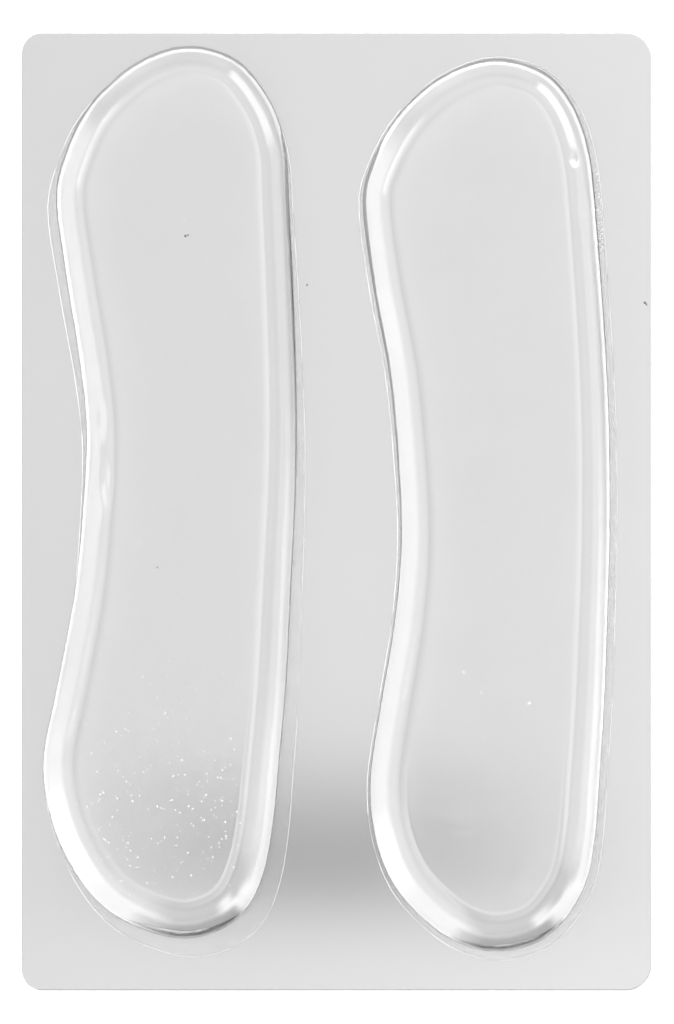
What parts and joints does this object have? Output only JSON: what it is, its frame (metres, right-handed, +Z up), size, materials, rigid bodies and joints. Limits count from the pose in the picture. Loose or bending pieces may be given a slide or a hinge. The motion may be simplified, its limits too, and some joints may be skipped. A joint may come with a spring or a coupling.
{
  "type": "pair of silicone shoe pads on a backing sheet",
  "caption": "Curved, self-adhesive clear gel pads with rounded rims, lying side by side on the clear release sheet they peel off.",
  "frame": {"origin": "middle of the backing sheet's underside", "axes": "+Y along the pads, towards their upper, narrower-rimmed ends; +X across the sheet, towards the pads' bowed sides; +Z up out of the sheet"},
  "size_m": [0.0706, 0.1072, 0.0027],
  "materials": {
    "clear_sheet": "clear, glossy, faintly grey plastic film",
    "clear_gel": "clear, glossy silicone gel with a few small bubbles and specks of dust",
    "adhesive_film": "clear, slightly tacky adhesive film"
  },
  "bodies": {
    "root": {"backing_sheet": "clear_sheet", "left_pad": "clear_gel", "right_pad": "clear_gel", "left_film": "adhesive_film", "right_film": "adhesive_film"}
  },
  "joints": []
}
